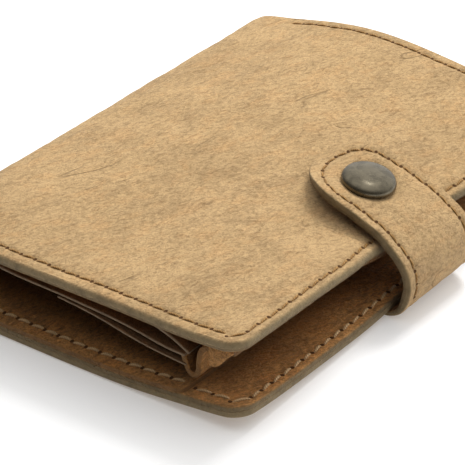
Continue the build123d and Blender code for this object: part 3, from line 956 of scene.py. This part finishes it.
# ------------------------------------------------------------------ reliefs of the faces
def front_relief(s, y):
    """Front cover: seam groove, edge rolling down, soft unevenness; the shade marks the seam."""
    k = bpy.context.scene.organizer_sizes
    edge = front_profile.length
    d = seam_distance(s, y, edge, HALF, k.seam_side, k.seam_end, k.corner_r - 1.8)
    on = ramp(s, FRONT_SEAM_START - 1.5, FRONT_SEAM_START + 0.5)
    rim = np.maximum(np.minimum(edge - s, HALF - np.abs(y)), 0)
    height = (
        seam_dip(d, 0.30, 0.75) * on
        - 0.22 * np.exp(-((rim / 1.6) ** 2))
        + 0.09 * waves(s, y, 4, 7, 22, 9)
        + 0.03 * waves(s, y, 5, 2.4, 5.5, 14)
    )
    return height, np.exp(-((d / 0.55) ** 2)) * on


def back_relief(s, y):
    """Back cover: soft unevenness."""
    return 0.05 * waves(s, y, 6, 8, 20, 8) * ramp(np.abs(s - back_profile.length), 2, 14), 0 * s


def strap_relief(s, y):
    """Strap: seam groove and soft unevenness; the shade marks the seam."""
    k = bpy.context.scene.organizer_sizes
    edge = strap_profile.length - k.strap_end
    d = seam_distance(s, y, edge, STRAP_HALF, k.seam_strap, k.seam_strap, STRAP_HALF - k.seam_strap)
    dimple = -k.press * ramp(np.hypot(s - SNAP_S, y), CAP_R + 2.4, CAP_R - 0.4)
    uneven = 0.06 * waves(s, y, 8, 6, 16, 8)
    height = dimple + seam_dip(d, 0.28, 0.8) + uneven + 0.03 * waves(s, y, 9, 2.4, 5, 10)
    return height, np.exp(-((d / 0.5) ** 2))


def lining_relief(s, y):
    """Linings: soft unevenness; the shade is painted shade that darkens them away from their free edges, deep in the
    gaps between the layers.
    """
    rim = np.minimum(back_profile.length - s, HALF - np.abs(y))
    return 0.06 * waves(s, y, 12, 6, 18, 8), 2.9 * ramp(rim, 4, 16)


def pocket_relief(s, y):
    """Document pocket: drawn down at the two end seams, thinned to the covers' edge, loose in the middle. The shade
    marks the seams, and adds painted shade that darkens the pocket away from the ends, deep inside the back half.
    """
    k = bpy.context.scene.organizer_sizes
    rim = HALF - np.abs(y)
    d = rim - k.seam_end
    height = -0.5 * ramp(rim, 4.4, 0.8) + seam_dip(d, 0.22, 0.7) + 0.08 * waves(s, y, 17, 6, 18, 8)
    return height, 0.8 * np.exp(-((d / 0.5) ** 2)) + 2.7 * ramp(rim, 4, 16)


def panel_relief(s, y):
    """Inner panels: the wrinkles of thin leather."""
    return 0.06 * waves(s, y, 21, 4, 13, 9), 0 * s


def gusset_relief(s, y):
    """Side gusset: wrinkled like the panels; the shade is painted shade in the hollow of its fold, darkening it from
    the fold to the note panel.
    """
    return 0.06 * waves(s, y, 21, 4, 13, 9), 3.2 * ramp(s, 10.0, 7.0)


# ------------------------------------------------------------------ operators
class ORGANIZER_OT_covers(bpy.types.Operator):
    """Outer leather of the back, the front and the spine, in two pieces that meet in the middle of the spine"""

    bl_idname = "organizer.covers"
    bl_label = "Covers"

    def execute(self, context):
        k = context.scene.organizer_sizes
        outside, ends = (0, -k.cover_t), (0.04, 1.0)
        back_end, front_end = back_profile.length, front_profile.length
        back = slab(
            "back_leather", (0, back_end), HALF, (0, k.corner_r), outside, back_place, back_relief, outer_hide(),
            130, 96, (0.55, 0.03), ends, ((back_end,), ()), 8,
        )
        keep(back, ("back_cover", "spine_cover"), bend_back)
        front = slab(
            "front_leather", (0, front_end), HALF, (0, k.corner_r), outside, front_place, front_relief, outer_hide(),
            200, 150, (1.15, 0.03), ends, ((front_end - k.seam_side,), ()), 16,
        )
        keep(front, ("front_cover", "spine_cover"), bend_front)
        return {"FINISHED"}



class ORGANIZER_OT_linings(bpy.types.Operator):
    """Lining leather of both halves and the spine"""

    bl_idname = "organizer.linings"
    bl_label = "Linings"

    def execute(self, context):
        k = context.scene.organizer_sizes
        near, far = -k.cover_t - 0.02, -k.cover_t - k.lining_t

        def flip(place):
            """Turns the sheet over, so that its upper face is the one seen inside."""
            return lambda s, y, h: place(s, y, near + far - h)

        for name, profile, place, nodes, bend, cols, rim in (
            ("back_lining_leather", back_profile, back_place, ("back_lining", "spine_lining"), bend_back, 130, 0.6),
            ("front_lining_leather", front_profile, front_place, ("front_lining", "spine_lining"), bend_front, 120, 1.15),
        ):
            end = profile.length - 0.04
            piece = slab(
                name, (0, end), HALF - 0.04, (0, k.corner_r), (near, far), flip(place), lining_relief,
                lining_suede(), cols, 80, (rim, 0.03), (0.04, 1.0), ((end - 2,), ()), 8,
            )
            keep(piece, nodes, bend)
        return {"FINISHED"}


def hang(name, points, thickness, reach, share=0.8, cols=80, hide=None, relief=panel_relief):
    """A panel hung in the front half: its own profile in XZ, moved with a share of the front's quilt and sagging
    a little between its ends.
    """
    profile = Profile(points)
    round_ = min(0.4, thickness / 2.2)

    def place(s, y, h):
        x, z, nx, nz = profile(s)
        rise = (front_quilt(x, y) - TOP_Z) * share
        sag = -0.35 * np.cos(y / reach * math.pi / 2) * ramp(TOP_Z - 2.75 - z, 0.3, 3)
        return np.stack([x + nx * h, y, z + nz * h + rise + sag], -1)

    return slab(
        name, (0, profile.length), reach, (0, 0), (0, -thickness), place, relief, hide or panel_hide(), cols, 60,
        (round_, round_),
    )


NOTE_POINTS = (
    (-37.5, 18.0), (-33.0, 17.5), (-28.0, 16.8), (-21.75, 15.9), (-8.35, 15.4), (2.65, 14.9), (15.95, 13.7),
    (22.25, 12.8), (27.6, 12.6),
)
GUSSET_POINTS = (
    (27.6, 12.3), (28.1, 10.7), (28.7, 9.3), (29.4, 8.6), (30.0, 9.1), (30.2, 10.5), (30.4, 12.6), (31.0, 14.8),
    (32.6, 16.3), (35.2, 16.9), (38.0, 17.2), (40.2, 17.4),
)
TICKET_POINTS = ((-6.0, 14.5), (5.25, 13.3), (13.25, 11.8), (21.15, 10.9), (28.0, 10.5))
BACK_WALL_POINTS = ((14.0, 17.6), (20.0, 16.6), (25.0, 15.0), (28.6, 13.1))
# Floor curves of the end webs, as (x, z)
WEB_FLOOR = ((-31.75, 17.45), (-21.75, 15.9), (-8.35, 15.4), (2.65, 14.9), (15.95, 13.6), (22.25, 12.9), (27.0, 12.6))
TUCK_FLOOR = ((34.3, 12.4), (35.6, 12.6), (37.0, 13.5), (38.5, 15.3), (39.6, 16.4), (40.6, 17.4))


class ORGANIZER_OT_pockets(bpy.types.Operator):
    """Document pocket of the back half; note panel, side gusset, bottom web and ticket pocket of the front half"""

    bl_idname = "organizer.pockets"
    bl_label = "Pockets"

    def execute(self, context):
        k = context.scene.organizer_sizes
        low, high = box_mm("document_pocket")
        under, t = -k.cover_t - k.lining_t - 0.03, k.pocket_t
        s0, s1 = back_profile.s_at_x(low[0]), back_profile.s_at_x(high[0])

        def pocket_place(s, y, h):
            return back_place(s, y, under - t - h)

        pocket = slab(
            "document_pocket_leather", (s0, s1), HALF - 0.06, (0, 2.0), (0, -t), pocket_place, pocket_relief,
            pocket_suede(), 90, 110, (0.22, 0.03), (1.0, 1.0), ((s1,), ()), 10,
        )
        keep(pocket, ("document_pocket",), on_body("back"))

        note = hang("note_panel_leather", NOTE_POINTS, k.panel_t, 66.2)
        gusset = hang("side_gusset_leather", GUSSET_POINTS, 1.3, 66.0, 0.9, 110, pocket_suede(), gusset_relief)
        ticket = hang("ticket_pocket_leather", TICKET_POINTS, 0.5, 66.4)
        back_wall = hang("gusset_back_wall", BACK_WALL_POINTS, 0.8, 65.8, cols=50)
        web_low, web_high = box_mm("bottom_web")
        web = end_web("bottom_web_leather", (web_low[0], web_high[0]), WEB_FLOOR, float(web_low[1]), 0.5)
        near_tuck = end_web("gusset_tuck_near", (34.3, 40.6), TUCK_FLOOR, -66.3, 0.35, pocket_suede())
        far_tuck = end_web("gusset_tuck_far", (34.3, 40.6), TUCK_FLOOR, 65.5, 0.35, pocket_suede())
        for node, pieces in (
            ("note_panel", (note,)),
            ("side_gusset", (gusset, near_tuck, far_tuck, back_wall)),
            ("ticket_pocket", (ticket,)),
            ("bottom_web", (web,)),
        ):
            for piece in pieces:
                keep(piece, (node,), on_body("front"))
        return {"FINISHED"}


def end_web(name, span, floor, y0, bulge, hide=None):
    """A strip that closes the end of a pocket: it stands between a floor curve over x and the lining above, and
    bulges outwards by a half sine.
    """
    k = bpy.context.scene.organizer_sizes
    x0, x1 = span
    knots, heights = zip(*floor)

    def place(s, y, h):
        x = x0 + s
        bottom = spline_through(knots, heights, x)
        top = TOP_Z - k.cover_t - k.lining_t - 0.05
        q = (y + 1) / 2
        rise = (front_quilt(x, np.full_like(x, y0)) - TOP_Z) * (0.85 + 0.15 * q)
        z = bottom + 0.05 + (top - bottom - 0.05) * q
        return np.stack([x, y0 + 0.4 + h - bulge * np.sin(q * math.pi), z + rise], -1)

    return slab(
        name, (0, x1 - x0), 1.0, (0, 0), (0, -0.8), place, panel_relief, hide or panel_hide(), 60, 12, (0.02, 0.02)
    )


class ORGANIZER_OT_strap(bpy.types.Operator):
    """Two-ply strap: the sewn end and lower bend, then the upper bend and rounded tip"""

    bl_idname = "organizer.strap"
    bl_label = "Strap"

    def execute(self, context):
        k = context.scene.organizer_sizes
        half, split, end = STRAP_HALF, STRAP_SPLIT, strap_profile.length
        near, far = -k.strap_outer_t - 0.02, -k.strap_t
        seams = (half - k.seam_strap, k.seam_strap - half)

        def lining_place(s, y, h):
            return strap_place(s, y, near + far - h)

        low_ends, high_ends = (1.0, 0.04), (0.04, 1.0)
        low_ends, high_ends = (1.0, 0.04), (0.04, 1.0)
        outside, inside = (0, -k.strap_outer_t), (near, far)
        pieces = (
            ("strap_lower", (0, split), half, (1.5, 0), outside, strap_place, strap_relief, outer_hide(),
             90, 90, (0.5, 0.03), low_ends, ((), seams), 6, "outer_leather", ("strap_root", "strap_wrap_outer"),
             bend_strap_low),
            ("strap_lower_lining", (0, split), half - 0.04, (1.5, 0), inside, lining_place, lining_relief,
             lining_suede(), 80, 40, (0.4, 0.03), low_ends, ((), ()), 6, "inner_leather",
             ("strap_root", "strap_wrap_lining"), bend_strap_low),
            ("strap_upper", (split, end), half, (0, half), outside, strap_place, strap_relief, outer_hide(),
             180, 1, (0.5, 0.03), high_ends, ((end - k.seam_strap,), ()), 44, "outer_leather",
             ("strap_wrap_outer", "strap_tip_outer"), bend_strap_high),
            ("strap_upper_lining", (split, end - 0.04), half - 0.04, (0, half - 0.04), inside, lining_place,
             lining_relief, lining_suede(), 100, 1, (0.4, 0.03), high_ends, ((), ()), 24, "inner_leather",
             ("strap_wrap_lining", "strap_tip_lining"), bend_strap_high),
        )
        for *sheet, slot_, nodes, bend in pieces:
            keep(slab(*sheet), nodes, bend)
        return {"FINISHED"}


class ORGANIZER_OT_stitching(bpy.types.Operator):
    """Seams of the front cover, the inside of the back and the strap"""

    bl_idname = "organizer.stitching"
    bl_label = "Stitching"

    def execute(self, context):
        k = context.scene.organizer_sizes
        outline = (HALF, k.seam_side, k.seam_end, k.corner_r - 1.8, k.pitch)
        runs = seam_loop(FRONT_SEAM_START, front_profile.length, *outline)
        sew("front", runs, front_place, front_relief, True, "front_stitching", on_body("front"))

        def over(depth):
            """The back's map for points that lie over a face inside it, at a depth from its outer one."""
            return lambda s, y, h: back_place(s, y, -depth - h)

        ply = k.cover_t + k.lining_t
        mouth = back_profile.s_at_x(box_mm("document_pocket")[1][0])
        runs = two_rows(back_profile.s_at_x(-34.0), mouth - 1.6, HALF - k.seam_end, k.pitch)
        pocket_face = over(ply + 0.04 + k.pocket_t)
        sew("pocket", runs, pocket_face, pocket_relief, False, "pocket_stitching", on_body("back"))
        runs = seam_loop(mouth + 0.8, back_profile.length, *outline)
        sew("back", runs, over(ply + 0.02), lining_relief, False, "back_stitching", on_body("back"))

        round_s = strap_profile.length - k.strap_end - STRAP_HALF
        row = STRAP_HALF - k.seam_strap
        low_start = STRAP_SPLIT - round((STRAP_SPLIT - 30) / k.pitch) * k.pitch
        runs = two_rows(low_start, STRAP_SPLIT, row, k.pitch)
        sew("strap_lower", runs, strap_place, strap_relief, True, "wrap_stitching", bend_strap_low)
        near_row, far_row = two_rows(STRAP_SPLIT, round_s, row, k.pitch)
        runs = [near_row, run_round((round_s, 0), row, -90, 90, k.pitch), far_row]
        sew("strap_upper", runs, strap_place, strap_relief, True, "tip_stitching", bend_strap_high)
        return {"FINISHED"}


# Outlines of the snap's parts, as (radius, height)
CAP_OUTLINE = (
    (0, 2.3), (1.2, 2.28), (2.6, 2.17), (3.9, 1.95), (4.7, 1.72), (5.3, 1.46), (5.7, 1.2), (6.0, 0.88), (6.2, 0.5),
    (CAP_R - 0.02, 0.15), (CAP_R, -0.2), (CAP_R - 0.08, -0.5), (CAP_R - 0.3, -0.72), (CAP_R - 0.7, -0.85),
    (2.0, -0.85), (0, -0.85),
)
SOCKET_OUTLINE = (
    (2.2, 0.0), (4.6, 0.0), (4.8, -0.15), (4.75, -0.35), (4.4, -0.5), (3.4, -0.6), (3.1, -1.5), (2.9, -1.7),
    (2.5, -1.7), (2.25, -1.45), (2.2, 0.0),
)
STUD_OUTLINE = (
    (0, 1.9), (1.0, 1.88), (1.6, 1.6), (1.9, 1.1), (1.75, 0.6), (1.7, 0.4), (4.2, 0.3), (4.5, 0.15), (4.5, 0.0),
    (4.2, -0.05), (0, -0.05),
)
POST_OUTLINE = (
    (0, -0.55), (1.4, -0.6), (1.7, -0.45), (4.2, -0.4), (4.5, -0.25), (4.5, 0.0), (1.5, 0.05), (1.5, 1.0), (0, 1.0),
)


class ORGANIZER_OT_snap(bpy.types.Operator):
    """Snap fastener: cap and socket on the strap, stud and rivet on the front cover"""

    bl_idname = "organizer.snap"
    bl_label = "Snap"

    def execute(self, context):
        k = context.scene.organizer_sizes
        metal = brass()
        snap_s, zero = np.array([SNAP_S]), np.zeros(1)
        seat = strap_place(snap_s, zero, zero)[0]
        below = strap_place(snap_s, zero, zero + 1.0)[0]
        up = (below - seat) / np.linalg.norm(below - seat)
        cap = lathe("cap", CAP_OUTLINE, seat, up, metal, 96, 30.0)
        socket = lathe("socket", SOCKET_OUTLINE, seat - up * (k.strap_t + 0.05), up, metal)

        cover_s = front_profile.s_at_x(float(seat[0]))
        base = front_place(np.array([cover_s]), zero, zero)[0]
        along = base - front_place(np.array([cover_s - 2.0]), zero, zero)[0]
        n = np.array([-along[2], 0.0, along[0]])
        n /= np.linalg.norm(n)
        under = front_place(np.array([cover_s]), zero, zero - k.cover_t - k.lining_t)[0]
        stud = lathe("stud", STUD_OUTLINE, base, n, metal)
        post = lathe("post", POST_OUTLINE, under, n, metal)
        for body, parts in (
            ("strap_tip", ((cap, "snap_cap"), (socket, "snap_socket"))),
            ("front", ((stud, "snap_stud"), (post, "snap_post"))),
        ):
            for piece, node in parts:
                keep(piece, (node,), on_body(body))
        return {"FINISHED"}


def area_lamp(name, place, aim, power, width, shiny):
    """A square lamp at a place, turned to an aim; shiny says whether metal mirrors it."""
    data = bpy.data.lights.new(name, "AREA")
    data.energy, data.size = power, width
    lamp = bpy.data.objects.new(name, data)
    bpy.context.scene.collection.objects.link(lamp)
    lamp.location = place
    lamp.rotation_mode = "QUATERNION"
    lamp.rotation_quaternion = (Vector(aim) - Vector(place)).to_track_quat("-Z", "Y")
    lamp.visible_glossy = shiny


class ORGANIZER_OT_stage(bpy.types.Operator):
    """Floor, lights, world and camera"""

    bl_idname = "organizer.stage"
    bl_label = "Stage"

    def execute(self, context):
        scene = context.scene
        f = Finish("studio_floor")
        f.finish(f.mix(f.noise(9, 3, 0.5), (0.76, 0.76, 0.765), (0.79, 0.79, 0.79)), 0.6, specular=0.2)
        f.shader.inputs["Emission Color"].default_value = (1.0, 1.0, 1.0, 1.0)
        f.shader.inputs["Emission Strength"].default_value = 0.22
        xs, ys = np.linspace(-2.5, 2.5, 5), np.linspace(-2.5, 2.5, 7)
        grid = np.stack(np.meshgrid(xs, ys), -1).reshape(-1, 2)
        floor = make_piece("floor", np.c_[grid, np.full(len(grid), -0.0002)] / MM, grid_faces(7, 5), f.material, 0)
        scene.view_settings.view_transform = "Standard"

        # Studio room: bright above and behind, dimmer towards the front and the horizon
        world = scene.world or bpy.data.worlds.new("studio")
        scene.world = world
        world.use_nodes = True
        nodes, links = world.node_tree.nodes, world.node_tree.links
        shade = nodes["Background"]
        shade.inputs["Color"].default_value = (1.0, 0.995, 0.985, 1.0)
        where = nodes.new("ShaderNodeTexCoord")
        tilt = nodes.new("ShaderNodeVectorMath")
        tilt.operation = "DOT_PRODUCT"
        tilt.inputs[1].default_value = (-0.05, 0.5, 0.86)
        fade = nodes.new("ShaderNodeMapRange")
        fade.interpolation_type = "SMOOTHSTEP"
        for key, value in (("From Min", -0.08), ("From Max", 0.95), ("To Min", 0.05), ("To Max", 1.40)):
            fade.inputs[key].default_value = value
        links.new(where.outputs["Generated"], tilt.inputs[0])
        links.new(tilt.outputs["Value"], fade.inputs["Value"])
        links.new(fade.outputs["Result"], shade.inputs["Strength"])

        area_lamp("key", (-0.07, 0.52, 0.64), (0.0, 0.0, 0.01), 5.2, 0.30, False)
        area_lamp("glint", (0.03, 0.28, 0.68), (0.03, 0.0, 0.02), 0.22, 0.05, True)

        azimuth, elevation, distance = math.radians(35.68), math.radians(30.42), 0.52005
        target = np.array([-0.00559, -0.00301, 0.0])
        back_dir = np.array(
            [math.sin(azimuth) * math.cos(elevation), -math.cos(azimuth) * math.cos(elevation), math.sin(elevation)]
        )
        data = bpy.data.cameras.new("camera")
        data.lens, data.sensor_width = 170.32, 36.0
        data.clip_start, data.clip_end = 0.01, 20.0
        camera = bpy.data.objects.new("camera", data)
        scene.collection.objects.link(camera)
        camera.location = Vector(target + back_dir * distance)
        camera.rotation_mode = "QUATERNION"
        camera.rotation_quaternion = Vector(-back_dir).to_track_quat("-Z", "Y")
        scene.camera = camera
        return {"FINISHED"}


class ORGANIZER_PT_panel(bpy.types.Panel):
    """Sizes, colours and the building steps"""

    bl_label = "Organizer"
    bl_idname = "ORGANIZER_PT_panel"
    bl_space_type = "VIEW_3D"
    bl_region_type = "UI"
    bl_category = "Organizer"

    def draw(self, context):
        column = self.layout.column()
        for step in STEPS:
            column.operator(step.bl_idname)
        for group in (context.scene.organizer_sizes, context.scene.organizer_colours):
            for name in group.__annotations__:
                column.prop(group, name)


STEPS = (
    ORGANIZER_OT_covers,
    ORGANIZER_OT_linings,
    ORGANIZER_OT_pockets,
    ORGANIZER_OT_strap,
    ORGANIZER_OT_stitching,
    ORGANIZER_OT_snap,
    ORGANIZER_OT_stage,
)
CLASSES = (OrganizerSizes, OrganizerColours, *STEPS, ORGANIZER_PT_panel)


def register():
    for cls in CLASSES:
        bpy.utils.register_class(cls)
    bpy.types.Scene.organizer_sizes = bpy.props.PointerProperty(type=OrganizerSizes)
    bpy.types.Scene.organizer_colours = bpy.props.PointerProperty(type=OrganizerColours)


def unregister():
    del bpy.types.Scene.organizer_colours
    del bpy.types.Scene.organizer_sizes
    for cls in reversed(CLASSES):
        bpy.utils.unregister_class(cls)


def main():
    register()
    bpy.ops.organizer.covers()
    bpy.ops.organizer.linings()
    bpy.ops.organizer.pockets()
    bpy.ops.organizer.strap()
    bpy.ops.organizer.stitching()
    bpy.ops.organizer.snap()
    bpy.ops.organizer.stage()


if __name__ == "__main__":
    main()
